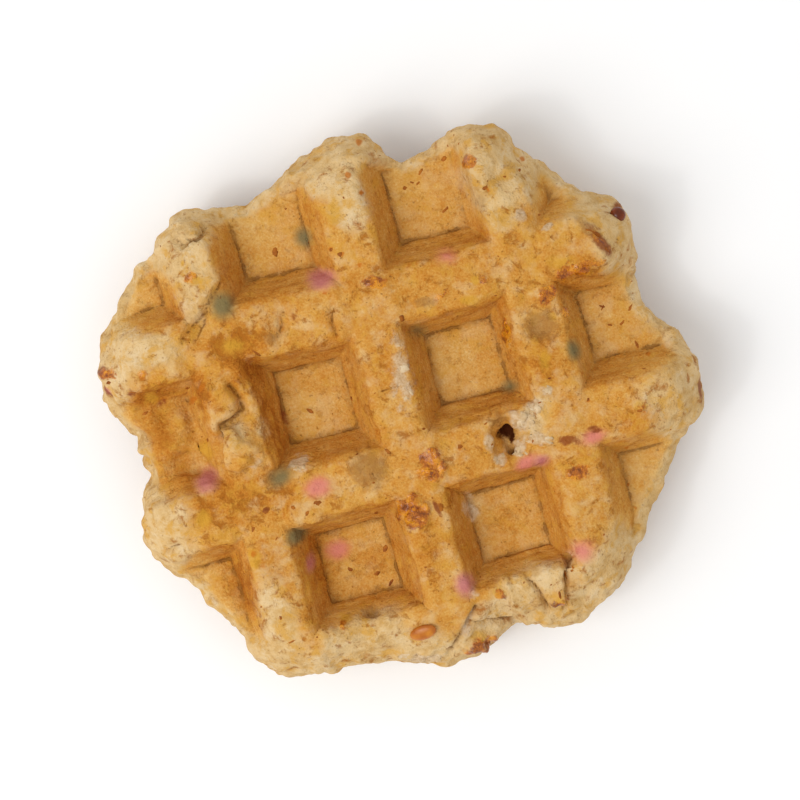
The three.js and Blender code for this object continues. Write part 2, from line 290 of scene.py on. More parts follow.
# Pearl sugar that melted and browned into glossy caramel.
CARAMEL = (
    (1.8, -10.9, 6.0, 6.4, 0),
    (-3.1, -18.1, 7.4, 7.6, 0),
    (25.8, -18.6, 4.4, 3.8, 0),
    (21.5, 37.8, 3.2, 2.8, 0),
    (34.6, 15.4, 10.0, 3.4, 4),
    (28.3, 12.3, 3.8, 4.6, 0),
    (20.4, 7.8, 1.8, 6.6, 0),
    (0.4, 22.0, 5.4, 2.9, -15),
    (39.8, 18.8, 1.6, 7.0, 25, 0.5),
    (-5.3, 20.5, 2.6, 2.6, 0, 0.6),
    (-29.3, 30.4, 4.4, 2.8, -15, 0.5),
    (-30.5, 33.8, 1.8, 2.8, 0, 0.5),
    (30.6, 8.6, 1.8, 3.4, 0, 0.7),
    (17.2, -40.0, 3.4, 3.0, 0, 0.7),
    (7.8, -36.0, 2.4, 2.0, 0, 0.6),
    (2.0, -43.6, 8.0, 3.0, 12, 0.6),
    (-48.4, 18.4, 3.2, 2.4, 0),
    (-42.5, 17.3, 2.6, 2.0, 0, 0.8),
    (-20.5, -34.2, 1.9, 1.7, 0),
    (39.6, -10.4, 4.6, 2.6, 0, 0.4),
    (17.3, 17.6, 3.6, 2.0, 0, 0.6),
    (11.4, 17.1, 3.0, 1.6, 0, 0.5),
)
UNDER_CARAMEL = (
    (12.0, 20.0, 6, 5, 0),
    (-28.0, -8.0, 7, 5, 30),
    (24.0, -22.0, 5, 5, 0),
    (-2.0, -30.0, 4, 5, 0),
)
caramel = np.maximum(marks(CARAMEL), marks(UNDER_CARAMEL, side=-1)) + 0.32 * bumps(1.9, 6.9)
keep_field("caramel", caramel)

# Yellow stains where sugar melted clear, and small spots where it burnt to rust.
GOLD = (
    (-30.6, 33.8, 1.4, 1.8, -15),
    (-29.1, 30.3, 4.2, 2.4, -15),
    (17.2, 18.0, 2.4, 2.1, -15),
    (11.3, 17.3, 2.1, 1.8, -15),
    (17.0, -40.0, 3.0, 3.0, -15),
    (7.4, -35.6, 3.5, 2.4, -15),
    (1.6, -42.6, 4.5, 2.8, -15),
    (-38.8, -9.8, 3.8, 4.5, -15),
    (28.5, 8.4, 2.4, 2.1, -15),
    (-26.0, 17.9, 7.0, 3.8, -15, 0.8),
    (32.1, 17.2, 7.0, 3.5, -15, 0.8),
    (-3.0, 35.8, 3.5, 5.2, -15, 0.8),
    (-35.7, 0.8, 3.5, 5.2, -15, 0.8),
    (25.3, 1.6, 2.8, 5.2, -15, 0.8),
    (-42.4, 12.4, 3.5, 2.8, -15),
    (15.5, 14.9, 4.5, 2.4, -15),
    (39.1, -10.2, 3.5, 2.4, -15),
    (-32.2, -19.1, 2.8, 5.2, -15),
    (-19.8, -33.3, 3.5, 2.1, -15, 0.8),
)
RUST = (
    (3.9, 46.2, 1.6, 1.6, -15),
    (0.7, 41.2, 1.6, 1.6, -15),
    (2.1, 37.6, 1.4, 1.2, -15),
    (-3.8, 28.2, 1.4, 1.2, -15),
    (-5.4, 29.5, 1.2, 1.1, -15),
    (-1.3, 25.6, 1.2, 1.2, -15),
    (30.2, 35.8, 1.2, 1.2, -15),
    (23.3, 32.3, 1.5, 1.0, -15),
    (-42.4, 16.7, 1.5, 1.9, -15),
    (-20.3, -33.9, 1.5, 1.3, -15),
    (39.4, -11.6, 1.1, 0.9, -15),
    (34.2, -10.1, 1.1, 0.9, -15),
    (30.7, -7.1, 1.1, 0.9, -15),
    (37.0, -18.7, 1.1, 0.9, -15),
    (35.4, -17.4, 1.2, 1.1, -15),
    (43.0, -2.4, 1.2, 1.1, -15),
    (34.0, -28.2, 1.3, 1.1, -15),
    (-31.9, -17.9, 1.2, 1.5, -15),
    (-31.1, -20.5, 1.1, 1.3, -15),
    (14.0, 4.1, 1.1, 0.9, -15),
    (7.2, -9.5, 1.3, 1.1, -15),
    (-8.4, 22.6, 1.2, 0.9, -15),
    (-47.9, 18.8, 1.8, 1.2, -15),
    (-33.0, -0.1, 1.2, 1.2, -15),
    (-35.6, 10.2, 3.4, 1.4, 25),
    (-33.2, 12.2, 2.6, 1.2, 40),
)
keep_field("gold", marks(GOLD))
keep_field("rust", marks(RUST))

# Bare white crumb and unmelted sugar.
BARE = (
    (0.8, 5.4, 17.0, 5.0, 82, 0.8),
    (24.0, -3.7, 3.6, 3.4, 0),
    (21.8, -5.6, 4.6, 3.4, 45),
    (19.0, -7.8, 5.0, 4.6, 0),
    (20.4, -11.2, 6.6, 3.0, -15),
    (16.8, -12.2, 5.0, 3.2, -10),
    (13.2, -13.2, 3.0, 2.4, 0),
    (12.2, -10.0, 2.6, 4.4, 0, 0.8),
    (17.6, -5.8, 3.0, 2.6, 0, 0.8),
    (27.5, 26.8, 2.4, 3.4, 0),
    (31.5, 23.4, 3.4, 1.4, 10),
    (-20.4, -5.0, 5.4, 3.2, 20, 0.9),
    (6.2, -21.0, 3.4, 8.0, 0, 0.8),
    (-8.6, -44.4, 9.4, 3.4, -14),
    (0.6, -39.8, 2.0, 8.0, -35, 0.9),
    (-27.4, -2.8, 3.2, 2.4, 0, 0.7),
    (12.9, 0.2, 2.2, 1.8, 0, 0.7),
    (3.0, -34.5, 2.2, 3.0, 0, 0.8),
)
bare = marks(BARE) + 0.25 * bumps(1.7, 8.6)
keep_field("bare", bare)

# Sugar that stayed clear and grey, over brown dough.
CLEAR = (
    (-9.1, -8.9, 9.5, 9.0, 0),
    (26.0, 7.6, 8.4, 7.4, 0),
    (-15.1, -33.8, 4.6, 3.2, -15),
    (7.9, 16.6, 4.6, 2.6, -15),
    (-19.4, 17.4, 3.2, 3.0, 0, 0.8),
    (15.0, -6.6, 4.4, 4.0, 0),
    (38.0, 22.0, 5.0, 3.4, -50, 0.8),
    (21.6, 30.6, 3.0, 4.0, 0, 0.5),
)
keep_field("clear", marks(CLEAR))

# Where the crust burnt red-brown.
BURNT = (
    (39.8, 18.8, 7.8, 2.8, -68, 1.4),
    (25.5, -12.7, 6.0, 2.2, -15, 1.1),
    (30.7, -12.2, 3.4, 1.6, -15, 1.3),
    (-49.2, 18.7, 2.8, 3.0, 0),
    (-49.6, 15.4, 1.8, 3.6, 0),
    (-45.4, 14.2, 2.6, 2.0, 0, 0.8),
    (-41.0, 11.0, 2.4, 2.0, 0, 0.8),
    (0.8, -18.6, 1.2, 4.0, 10),
    (20.4, 7.8, 1.2, 6.0, 0, 0.7),
    (-21.3, 3.6, 1.4, 5.0, 8, 0.7),
    (44.6, 23.4, 2.4, 2.2, 0),
    (50.4, -11.0, 1.8, 7.0, -15, 0.8),
    (-14.2, 21.0, 1.4, 5.0, -10, 0.6),
)
keep_field("burnt", marks(BURNT))

# Coloured sugar strands that bled into the dough: pink, violet and green.
PINK = (
    (-18.2, -9.5, 7.0, 5.4, 0),
    (-18.3, -22.0, 6.6, 5.4, 5, 0.9),
    (13.4, 23.2, 6.0, 4.4, -15, 0.6),
    (17.6, -14.8, 6.4, 3.8, 20, 0.9),
    (30.0, -13.4, 7.0, 4.0, 0, 0.9),
    (23.1, -32.2, 6.4, 6.6, 20, 0.8),
)
VIOLET = (
    (-8.4, 24.9, 7.4, 5.0, -15, 0.9),
    (-36.8, -3.7, 6.0, 5.4, 0),
    (20.2, -15.3, 4.2, 3.4, 20, 0.8),
    (1.9, -32.6, 4.8, 6.2, 0, 0.9),
    (-23.2, -22.6, 2.4, 5.0, -15, 0.7),
    (-49.4, 15.6, 1.8, 2.2, 0),
)
GREEN = (
    (-26.0, 25.0, 6.0, 7.0, 0),
    (-9.8, 32.5, 4.6, 5.4, 0, 0.9),
    (-24.1, -6.3, 7.4, 4.6, 15, 0.85),
    (-24.2, -17.0, 5.0, 4.4, 0, 1.0),
    (5.4, 11.9, 4.6, 4.2, 0, 0.5),
    (18.3, -1.8, 4.6, 3.4, 0, 0.7),
    (30.5, 1.9, 3.6, 5.2, 0, 0.95),
)
UNDER_PINK = ((8.0, -10.0, 5, 4, 20), (-29.0, 16.0, 5, 4, 0))
UNDER_VIOLET = ((-12.0, 20.0, 5, 4, 0), (26.0, -9.0, 4, 5, 0))
UNDER_GREEN = ((26.0, 19.0, 5, 5, 0), (-28.0, -22.0, 5, 4, 0))
keep_field("pink", np.maximum(marks(PINK), marks(UNDER_PINK, side=-1)))
keep_field("violet", np.maximum(marks(VIOLET), marks(UNDER_VIOLET, side=-1)))
keep_field("green", np.maximum(marks(GREEN), marks(UNDER_GREEN, side=-1)))

# Holes, with painted shade inside them.
HOLES = ((15.6, -9.4, 2.8, 1.9, -15), (16.2, -10.3, 1.6, 1.4, 0), (15.7, -12.0, 1.5, 2.0, 0, 0.6))
keep_field("hole", marks(HOLES))

# Craggy rim, fine-pitted crust, and walls streaked along their length by the plates. The factors are
# heights, and the first number of bumps and knobs is their size.
relief = free * (0.55 * bumps(5.2, 1.3) + 0.55 * knobs(2.8, 5.1) + 0.28 * bumps(1.5, 2.9))
relief += rim * (0.60 * knobs(3.4, 2.2) + 0.40 * knobs(1.7, 8.8))
relief += (1 - free) * (0.18 * bumps(3.1, 4.4) + 0.10 * bumps(1.4, 8.2))
on_ridge = (1 - free) * (1 - in_pocket)
relief += on_ridge * (0.35 * bumps(4.6, 6.1) + 0.50 * knobs(3.3, 3.3) + 0.25 * knobs(1.6, 9.3))
relief += 1.6 * rough_floor * (bumps(4.2, 5.5) + 0.8 * knobs(2.6, 4.1))
relief = even_out(relief, 1)
relief += smooth(caramel, 0, 0.5) * (0.35 + 0.6 * bumps(1.5, 6.4))
relief += smooth(bare, 0, 0.5) * (0.20 + 0.5 * knobs(1.5, 7.2))
drawn_x = bumps(1.1, 6.6, along=(0.14, 1, 1))
drawn_y = bumps(1.1, 7.7, along=(1, 0.14, 1))
streaks = np.where(np.abs(facing[:, 1]) > np.abs(facing[:, 0]), drawn_x, drawn_y)
relief += 0.2 * wall * streaks

# What stands up from the top, or is sunk in it: x, y, length, width, turn, rise.
TOP_RELIEF = (
    (0.4, 22.0, 5.4, 2.7, -15, 0.7),  # caramel blister
    (15.6, -9.3, 3.8, 2.6, -15, -3.0),  # hole torn by a burst bubble
    (15.7, -11.6, 2.6, 3.0, 0, -1.8),
    (15.0, -6.8, 5.0, 4.4, 0, -1.1),
    (0.8, 5.4, 15.0, 4.6, 82, -0.35),  # strip of bare crumb on the middle ridge
    (-16.5, 18.9, 1.6, 5.0, -10, -0.9),
    (-9.1, -8.9, 8.0, 8.0, 0, 0.5),
    (-29.6, 9.2, 8.0, 8.0, 0, 0.9),  # two lumps in the left ridge
    (-29.6, 0.2, 9.0, 9.0, 0, 1.7),
    (-15.1, -33.8, 4.4, 3.2, -15, -1.3),
    (17.2, -39.6, 4.4, 3.4, 60, 0.9),
    (9.6, -38.0, 4.6, 3.4, 70, 0.8),
    (22.4, -37.0, 3.4, 4.4, 0, 0.7),
    (1.4, -44.3, 9.0, 3.6, 12, 0.8),
    (40.0, 19.6, 6.0, 3.2, -55, -0.7),
    (26.0, 7.6, 7.0, 6.0, 0, -0.5),
)
ragged = 0.25 * bumps(1.5, 3.9)
facing_up = np.sign(np.maximum(facing[:, 2], 0))
for x, y, length, width, turned, rise in TOP_RELIEF:
    relief += rise * smooth(mark(x, y, length, width, turned) + ragged, 0, 1) * facing_up

# Thin folds that stand up from the top: width, rise and the points they run through.
FOLDS = (
    (2.4, 0.9, ((-25.8, 29.6), (-28.5, 27.2), (-30.5, 25.2), (-33.2, 23.1), (-34.8, 21.8))),
    (2.2, 0.8, ((8.7, -33.6), (10.4, -37.7), (10.9, -42.4))),
    (2.0, 0.7, ((-22.4, -34.8), (-18.6, -37.2), (-14.6, -38.2))),
)
for width, rise, points in FOLDS:
    relief += rise * smooth(score(points, width), 0, 1)

# Cracks in the top: width, depth and the points they run through.
CRACKS = (
    (1.9, 1.5, ((-31.2, 38.2), (-30.0, 36.9), (-28.6, 37.9), (-27.4, 37.3), (-25.6, 38.7))),
    (1.5, 0.9, ((-25.0, 28.7), (-27.7, 26.5), (-29.6, 24.3), (-32.4, 22.4), (-33.9, 21.3))),
    (1.5, 0.9, ((-28.8, 24.6), (-30.1, 22.3), (-32.1, 20.2))),
    (1.6, 1.0, ((-16.1, 21.3), (-17.0, 19.1), (-18.3, 16.9))),
    (1.5, 0.9, ((-7.5, 19.6), (-8.4, 17.7), (-8.3, 14.7))),
    (
        2.4,
        1.7,
        ((-28.2, 11.4), (-27.1, 8.8), (-27.2, 6.3), (-29.3, 5.2), (-31.5, 4.9), (-32.8, 2.6), (-33.3, -0.7)),
    ),
    (1.3, 0.8, ((-47.7, -14.2), (-44.6, -13.4), (-42.2, -13.0))),
    (2.0, 1.3, ((-3.7, -44.6), (-1.8, -42.4), (1.2, -39.0), (3.1, -37.2))),
    (1.6, 1.0, ((1.2, -39.8), (5.6, -41.0), (8.4, -41.8))),
    (1.6, 1.2, ((20.2, -32.7), (19.4, -36.8), (17.7, -41.7))),
    (1.6, 1.2, ((12.9, -34.0), (14.2, -37.7), (14.5, -41.6))),
    (1.2, 0.8, ((-3.6, 3.6), (-0.7, 3.9))),
)
crack = np.full(len(place), -1.0)
for width, depth, points in CRACKS:
    cut = score(points, width)
    crack = np.maximum(crack, cut)
    relief -= depth * smooth(cut, 0, 1)
keep_field("crack", crack)

baked = place + facing * relief[:, None]
baked[:, 2] = np.maximum(baked[:, 2], 0)
waffle.data.vertices.foreach_set("co", (baked * METRES).ravel())
waffle.data.update()


class Finish:
    """A material written as sums of signals: numbers and colours that vary over the piece."""

    def __init__(self, name):
        self.material = bpy.data.materials.new(name)
        self.material.use_nodes = True
        self.tree = self.material.node_tree
        self.shader = self.tree.nodes["Principled BSDF"]
        self.place = self.node("ShaderNodeTexCoord", output="Object").scaled(1 / METRES)

    def node(self, kind, settings=None, inputs=None, output=0):
        """A node with its settings, its inputs as numbers, colours or signals, and one of its outputs."""
        made = self.tree.nodes.new(kind)
        for name, value in (settings or {}).items():
            if name == "stops":
                ramp = made.color_ramp
                while len(ramp.elements) < len(value):
                    ramp.elements.new(1)
                for element, (position, colour) in zip(ramp.elements, value):
                    element.position = position
                    element.color = (*colour, 1)
            else:
                setattr(made, name, value)
        for name, value in (inputs or {}).items():
            self.feed(made.inputs[name], value)
        return Signal(self, made.outputs[output])

    def feed(self, socket, value):
        if isinstance(value, Signal):
            self.tree.links.new(value.socket, socket)
        elif isinstance(value, tuple) and len(value) == 3 and socket.type == "RGBA":
            socket.default_value = (*value, 1)
        else:
            socket.default_value = value

    def field(self, name):
        return self.node("ShaderNodeAttribute", {"attribute_name": name}, output="Fac")

    def bumps(self, size, detail=2.0, rough=0.5, seed=0.0, swirl=0.0, place=None):
        """Cloudy bumps about size millimetres across, from 0 to 1."""
        where = (place or self.place).moved(seed)
        inputs = {"Vector": where, "Scale": 1 / size, "Detail": detail, "Roughness": rough}
        inputs["Distortion"] = swirl
        return self.node("ShaderNodeTexNoise", inputs=inputs)

    def mix(self, low, high, share):
        inputs = {0: share, 6: low, 7: high}
        return self.node("ShaderNodeMix", {"data_type": "RGBA"}, inputs, output=2)

    def tint(self, signal, stops):
        return self.node("ShaderNodeValToRGB", {"stops": stops}, {"Fac": signal})


class Signal:
    """One output of a finish's nodes. Sums and products of signals add the nodes that work them out."""

    def __init__(self, finish, socket):
        self.finish = finish
        self.socket = socket

    def maths(self, operation, *values):
        return self.finish.node("ShaderNodeMath", {"operation": operation}, dict(enumerate(values)))

    def __add__(self, other):
        return self.maths("ADD", self, other)

    def __radd__(self, other):
        return self.maths("ADD", other, self)

    def __sub__(self, other):
        return self.maths("SUBTRACT", self, other)

    def __rsub__(self, other):
        return self.maths("SUBTRACT", other, self)

    def __mul__(self, other):
        return self.maths("MULTIPLY", self, other)

    def __rmul__(self, other):
        return self.maths("MULTIPLY", other, self)

    def scaled(self, factor):
        inputs = {"Vector": self, "Scale": factor}
        return self.finish.node("ShaderNodeVectorMath", {"operation": "SCALE"}, inputs)

    def moved(self, distance):
        inputs = {0: self, 1: (distance, distance, distance)}
        return self.finish.node("ShaderNodeVectorMath", {"operation": "ADD"}, inputs)

    def stretched(self, x, y, z):
        inputs = {0: self, 1: (x, y, z)}
        return self.finish.node("ShaderNodeVectorMath", {"operation": "MULTIPLY"}, inputs)

    def ease(self, low, high):
        """0 where the signal is at low, 1 where it is at high, smooth between them."""
        settings = {"interpolation_type": "SMOOTHSTEP"}
        inputs = {"Value": self, "From Min": low, "From Max": high}
        if low > high:
            inputs.update({"From Min": high, "From Max": low, "To Min": 1.0, "To Max": 0.0})
        return self.finish.node("ShaderNodeMapRange", settings, inputs)


crust = Finish("golden_crust")
grain = crust.bumps(0.38, detail=2, rough=0.6)
mottle = crust.bumps(1.7, detail=4, rough=0.65, seed=11)
clouds = crust.bumps(7, detail=3, rough=0.6, seed=31)
warp = crust.bumps(0.8, detail=3, rough=0.65, seed=57)
pale = crust.field("free")
on_wall = crust.field("wall")
pocket = crust.field("in_pocket")

# Gold to brown, by how long the dough touched the plates. Paler in the pockets: painted light that offsets
# the shade there.
toast = 0.43 + 0.45 * (clouds - 0.5) + 0.50 * (mottle - 0.5) + 0.60 * (grain - 0.5)
toast = toast + 0.30 * crust.field("browned") + 0.10 * on_wall - 0.15 * pale - 0.13 * pocket
colour = crust.tint(
    toast,
    (
        (0.0, (0.74, 0.50, 0.20)),
        (0.2, (0.66, 0.375, 0.100)),
        (0.4, (0.58, 0.27, 0.048)),
        (0.6, (0.49, 0.18, 0.018)),
        (0.8, (0.33, 0.090, 0.005)),
        (1.0, (0.17, 0.036, 0.002)),
    ),
)

# Pale dough where it rose free.
bare_dough = crust.tint(
    mottle + 0.4 * (grain - 0.5) + 0.9 * (clouds - 0.5) + 0.2 * (warp - 0.5),
    (
        (0.18, (0.40, 0.205, 0.055)),
        (0.35, (0.51, 0.305, 0.108)),
        (0.52, (0.63, 0.425, 0.190)),
        (0.76, (0.73, 0.57, 0.340)),
    ),
)
raw = (0.9 * pale + 0.6 * (mottle - 0.5) + 0.7 * (clouds - 0.5)).ease(0.2, 0.95)
colour = crust.mix(colour, bare_dough, raw * 0.85)

# Patches of cream, gold and brown.
dark = crust.field("browned")
creamy = crust.bumps(3.0, detail=4, rough=0.6, seed=73, swirl=0.2) + 0.10 * pale - 0.10 * dark
creamy = creamy.ease(0.44, 0.72) * (0.60 - 0.38 * on_wall - 0.25 * pocket)
colour = crust.mix(colour, (0.69, 0.48, 0.23), creamy)
gold = crust.bumps(3.2, detail=4, rough=0.65, seed=41, swirl=0.3).ease(0.50, 0.66)
colour = crust.mix(colour, (0.60, 0.30, 0.034), gold * (0.48 + 0.22 * pale))
stain = (crust.bumps(2.3, detail=5, rough=0.70, seed=5, swirl=0.4) + 0.14 * dark).ease(0.54, 0.70)
# Fewer brown stains in the pockets: painted light that offsets the shade there.
colour = crust.mix(colour, (0.36, 0.115, 0.008), stain * (0.85 - 0.52 * pocket))
pit = (crust.bumps(0.8, detail=2, rough=0.6, seed=15) + 0.15 * (mottle - 0.5)).ease(0.66, 0.78)
colour = crust.mix(colour, (0.30, 0.095, 0.010), pit * 0.55)

yellow = (crust.field("gold") + 0.9 * (mottle - 0.5) + 0.4 * (warp - 0.5)).ease(0.0, 0.6)
colour = crust.mix(colour, (0.60, 0.31, 0.030), yellow * 0.7)
rust = (crust.field("rust") + 0.7 * (mottle - 0.5)).ease(0.0, 0.5)
colour = crust.mix(colour, (0.50, 0.15, 0.010), rust * 0.85)

# Painted shade in a soft band beside the foot of the walls, a thin dark line right at the foot, and darker
# in the cracks.
near_foot = crust.field("from_foot") + 1.6 * (mottle - 0.5) + 0.7 * (warp - 0.5)
# Painted shade: a soft brown band beside the foot of every wall, where the pockets' corners lie in shade.
colour = crust.mix(colour, (0.30, 0.10, 0.010), near_foot.ease(1.2, 0.2) * 0.35)
foot = near_foot.ease(0.42, 0.08) * crust.bumps(3.4, detail=2, seed=17).ease(0.32, 0.60)
colour = crust.mix(colour, (0.20, 0.075, 0.010), foot * 0.65)
split = (crust.field("crack") + 0.7 * (warp - 0.5) + 0.6 * (mottle - 0.5)).ease(0.55, 1.0)
colour = crust.mix(colour, (0.20, 0.070, 0.008), split * 0.8)

# Bare crumb, clear sugar and bled colours.
white = (crust.field("bare") + 0.9 * (mottle - 0.5) + 0.4 * (warp - 0.5)).ease(0.10, 0.6)
crumb = crust.tint(
    warp,
    ((0.25, (0.36, 0.20, 0.09)), (0.45, (0.56, 0.38, 0.21)), (0.75, (0.72, 0.57, 0.39))),
)
colour = crust.mix(colour, crumb, white * 0.85)
grey = (crust.field("clear") + 1.0 * (mottle - 0.5) + 0.5 * (warp - 0.5)).ease(0.0, 0.6)
colour = crust.mix(colour, (0.30, 0.145, 0.04), grey * 0.6)
green = (crust.field("green") + 0.3 * (mottle - 0.5)).ease(-0.05, 0.75)
colour = crust.mix(colour, (0.155, 0.140, 0.064), green * 0.85)
pink = (crust.field("pink") + 0.3 * (mottle - 0.5)).ease(-0.05, 0.75)
coral = crust.tint(
    pink,
    ((0.0, (0.64, 0.26, 0.13)), (0.6, (0.64, 0.19, 0.13)), (1.0, (0.66, 0.20, 0.16))),
)
colour = crust.mix(colour, coral, pink * 0.85)
violet = (crust.field("violet") + 0.3 * (mottle - 0.5)).ease(-0.05, 0.75)
plum = crust.tint(
    violet,
    ((0.0, (0.64, 0.30, 0.22)), (0.5, (0.62, 0.24, 0.23)), (1.0, (0.53, 0.170, 0.180))),
)
colour = crust.mix(colour, plum, violet * 0.85)

# Burnt streaks, and caramel from amber to brown, glossy.
scorch = (crust.field("burnt") + 1.4 * (mottle - 0.5) + 0.6 * (warp - 0.5)).ease(0.0, 0.6)
colour = crust.mix(colour, (0.24, 0.052, 0.010), scorch * 0.85)
amber = (crust.field("caramel") + 1.2 * (mottle - 0.5) + 0.8 * (warp - 0.5)).ease(0.12, 0.45)
burnt = crust.tint(
    crust.bumps(2.2, detail=4, rough=0.65, seed=77),
    ((0.36, (0.20, 0.038, 0.001)), (0.47, (0.46, 0.120, 0.002)), (0.60, (0.72, 0.28, 0.010))),
)
colour = crust.mix(colour, burnt, amber * 0.92)

# Painted shade inside the holes, dark brown.
hole = (crust.field("hole") + 0.8 * (warp - 0.5) + 0.6 * (mottle - 0.5)).ease(-0.05, 0.45)
colour = crust.mix(colour, (0.07, 0.014, 0.001), hole)

crust.feed(crust.shader.inputs["Base Color"], colour)
crust.feed(crust.shader.inputs["Roughness"], 0.76 - 0.46 * amber - 0.12 * grey)
crust.feed(crust.shader.inputs["Coat Weight"], amber * 0.5)
crust.shader.inputs["Coat Roughness"].default_value = 0.1
crust.shader.inputs["Specular IOR Level"].default_value = 0.12

# Fine relief: grain on the crust, crumbs and pores on the free dough, streaks along the walls.
streak = crust.bumps(0.8, detail=3, rough=0.6, seed=91, place=crust.place.stretched(0.16, 0.16, 1.0))
facets = crust.bumps(1.3, detail=3, rough=0.65, seed=33)
height = 0.09 * grain + 0.17 * warp + 0.26 * mottle - 0.12 * pit - 0.10 * stain
height = height + raw * (0.26 * mottle + 0.04 * warp) + on_wall * 0.26 * streak
height = height + 1.0 * (amber * (facets - 0.5)) - 0.14 * foot
relief_node = crust.node("ShaderNodeBump", inputs={"Strength": 1.0, "Distance": METRES, "Height": height})
crust.feed(crust.shader.inputs["Normal"], relief_node)

waffle.data.materials.append(crust.material)
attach(waffle, "root")
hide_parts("waffle")

# Bran and burnt flecks
# Bits of bran, and crumbs left on the plates that burnt: red-brown, thin and ragged, baked flush with the
# crust.

skin = BVHTree.FromObject(waffle, bpy.context.evaluated_depsgraph_get())
ABOVE = 0.05  # a height clear of the dough, in metres


def on_top(x, y):
    """The place on the top of the dough under a point, and its normal, in metres."""
    hit, normal, _, _ = skin.ray_cast(Vector((x * METRES, y * METRES, ABOVE)), Vector((0, 0, -1)))
    return hit, normal


def flat_on(normal, turned):
    """A turn that lays a thing on the skin, its length along +X and then turned about the normal."""
    up = Vector(normal).normalized()
    across = up.cross(Vector((1, 0, 0))).normalized()
    lying = Matrix((across.cross(up), across, up)).transposed()
    return lying @ Matrix.Rotation(turned, 3, "Z")


def ragged_bits(name, spots, seed, sunk, rough, angular=False):
    """One mesh of many small lumps. A spot is its place, normal, turn, length, width and thickness."""
    bpy.ops.object.select_all(action="DESELECT")
    if angular:
        bpy.ops.mesh.primitive_ico_sphere_add(subdivisions=1, radius=0.5)
    else:
        bpy.ops.mesh.primitive_uv_sphere_add(segments=8, ring_count=5, radius=0.5)
    model = bpy.context.object
    corners = np.array([corner.co for corner in model.data.vertices])
    sides = [tuple(side.vertices) for side in model.data.polygons]
    bpy.data.objects.remove(model)
    draw = np.random.default_rng(seed)
    points, faces = [], []
    for hit, normal, turned, length, width, thickness in spots:
        shape = corners * (1 + rough * draw.uniform(-1, 1, (len(corners), 1)))
        shape = shape * (length, width, thickness) * METRES
        shape[:, 2] -= sunk * thickness * METRES
        faces += [[len(corners) * len(points) + corner for corner in side] for side in sides]
        points.append(shape @ np.array(flat_on(normal, turned)).T + np.array(hit))
    mesh = bpy.data.meshes.new(name)
    mesh.from_pydata(np.concatenate(points).tolist(), [], faces)
    mesh.validate()
    bits = bpy.data.objects.new(name, mesh)
    bpy.context.collection.objects.link(bits)
    if not angular:
        mesh.shade_smooth()
    return bits


def cluster(places, draw, sizes, thick):
    """Spots scattered about each place: its x, y, reach along and across, turn and count."""
    spots = []
    for x, y, along, across, turned, count in places:
        c, s = math.cos(math.radians(turned)), math.sin(math.radians(turned))
        for _ in range(count):
            far, way = math.sqrt(draw.random()), draw.uniform(0, 2 * math.pi)
            dx, dy = along * far * math.cos(way), across * far * math.sin(way)
            hit, normal = on_top(x + dx * c - dy * s, y + dx * s + dy * c)
            length = draw.uniform(*sizes) * (1.2 - 0.5 * far)
            width = length * draw.uniform(0.4, 0.9)
            spots.append((hit, normal, draw.uniform(0, math.pi), length, width, length * thick))
    return spots


# Flecks that stand out: x, y, length, width and turn.
FLECKS = (
    (-15.3, 31.4, 2.0, 1.1, 70), (-4.1, 28.2, 1.0, 0.8, 0), (-5.4, 29.4, 0.8, 0.7, 0),
    (-16.6, 2.9, 1.9, 0.8, -50), (17.2, 39.4, 1.4, 1.0, 40), (26.6, 33.8, 0.7, 0.5, 0),
    (29.4, 34.2, 0.9, 0.7, 20), (22.9, 32.8, 1.2, 0.7, 20), (12.8, 38.3, 1.3, 0.6, 40),
    (9.5, 36.3, 0.9, 0.8, 0), (11.9, 36.5, 1.3, 0.4, 30), (10.9, 36.9, 1.0, 0.4, -30),
    (15.3, 30.8, 1.8, 0.6, 25), (37.4, 7.5, 1.4, 0.4, -30), (37.5, 7.3, 1.2, 0.4, 50),
    (42.1, 5.9, 2.0, 0.6, 50), (40.1, 3.8, 1.4, 0.5, 30), (37.9, 4.0, 1.0, 0.5, -20),
    (41.6, -0.6, 2.2, 0.6, -80), (33.9, -24.0, 0.9, 0.6, 0), (38.9, -11.0, 1.1, 0.8, 0),
    (30.7, -6.9, 0.9, 0.6, 40), (-23.3, -11.8, 0.9, 0.8, 0), (-18.9, -12.2, 1.6, 1.0, 0),
    (-21.2, -13.4, 1.0, 0.7, 50), (-17.1, -25.9, 1.3, 0.8, -40), (-10.2, -24.0, 1.7, 1.0, 40),
    (-12.7, -27.8, 1.2, 0.8, 0), (-10.8, -30.1, 1.6, 0.6, 50), (7.3, -9.1, 1.2, 0.8, 20),
    (-30.4, -29.9, 0.8, 0.6, 80), (-29.6, -34.5, 2.0, 0.4, 20), (38.9, 20.6, 2.8, 0.9, -40),
    (40.6, 17.0, 2.2, 0.7, -60), (-44.4, 10.1, 1.2, 0.7, 20), (-34.9, 2.9, 1.0, 0.8, 60),
    (-9.0, 3.2, 1.0, 0.6, 80), (-5.0, -6.6, 1.4, 0.7, -50), (-9.8, -17.0, 0.9, 1.5, 0),
    (19.2, -35.4, 0.6, 2.6, 0), (17.4, -38.8, 0.5, 1.8, 0), (-28.0, -11.2, 2.2, 1.4, 30),
    (-31.0, -13.8, 1.2, 0.8, 60), (1.4, -18.2, 1.0, 2.4, 0), (-22.4, 15.6, 2.0, 0.6, -50),
    (-48.9, 17.0, 1.2, 0.9, 0), (-45.0, 14.4, 1.4, 0.8, 20), (-36.0, 12.6, 1.6, 0.7, 60),
    (3.4, 14.9, 1.0, 1.4, 0),
)
FLECK_THICKNESS = 0.3
spots = []
for x, y, length, width, turned in FLECKS:
    hit, normal = on_top(x, y)
    spots.append((hit, normal, math.radians(turned), length, width, FLECK_THICKNESS))

